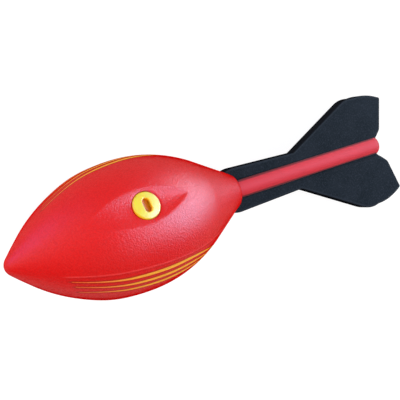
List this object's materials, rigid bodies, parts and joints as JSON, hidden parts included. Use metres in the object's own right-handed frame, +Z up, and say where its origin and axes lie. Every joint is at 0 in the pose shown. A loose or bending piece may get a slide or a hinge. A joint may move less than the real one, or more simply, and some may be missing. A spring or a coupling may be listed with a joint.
{
  "type": "vortex throwing toy",
  "caption": "Whistling foam football with a finned foam tail for throwing practice; air over the slotted whistles makes it howl in flight.",
  "frame": {"origin": "on the floor, at the middle of the resting toy's bounding box", "axes": "+X from the nose towards the tail, +Y to the left fin, +Z up; the toy's own axis drops towards the tail by 10.9 degrees"},
  "size_m": [0.313, 0.093, 0.0952],
  "materials": {
    "red_foam": "skinned foam with a fine leather grain",
    "red_tube": "matte foam",
    "black_foam": "matte sheet foam",
    "yellow_plastic": "glossy",
    "grey_plastic": "matte"
  },
  "bodies": {
    "root": {"foam_body": "red_foam", "tail_tube": "red_tube", "core_rod": "grey_plastic", "anchor_plate": "grey_plastic", "right_fin": "black_foam", "left_fin": "black_foam", "upper_whistle_cup": "yellow_plastic", "upper_whistle_cap": "yellow_plastic", "lower_whistle_cup": "yellow_plastic", "lower_whistle_cap": "yellow_plastic"}
  },
  "joints": []
}
